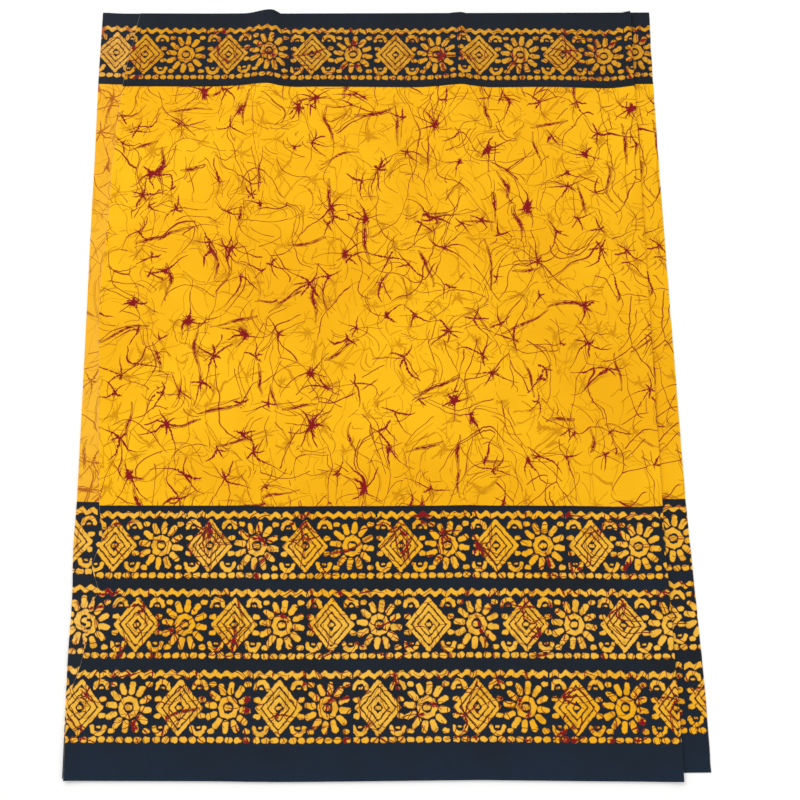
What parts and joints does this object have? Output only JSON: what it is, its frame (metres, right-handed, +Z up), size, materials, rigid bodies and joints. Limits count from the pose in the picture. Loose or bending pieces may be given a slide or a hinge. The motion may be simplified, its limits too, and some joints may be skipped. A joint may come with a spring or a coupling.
{
  "type": "folded border print cotton cloth",
  "caption": "Border print cotton cloth folded into a flat stack, with a rounded fold at each side, raw cut ends and dark selvage borders.",
  "frame": {"origin": "on the surface the cloth lies on, under the middle of its bounding box", "axes": "+Y from the three-band border to the single-band border, across the cloth from selvage to selvage; +X along the cloth's length; +Z up off the surface"},
  "size_m": [0.9112, 1.204, 0.0133],
  "materials": {
    "print_right_side": "plain-weave cotton, right side: rich yellow with red and ochre crackle, navy border bands",
    "print_wrong_side": "the same cotton, wrong side up: paler yellow, the print mirrored",
    "print_lower_layer": "plain-weave cotton, right side up, with its wrong side underneath"
  },
  "bodies": {
    "root": {"stretch_top": "print_right_side", "stretch_middle": "print_wrong_side", "stretch_bottom": "print_lower_layer"}
  },
  "joints": []
}
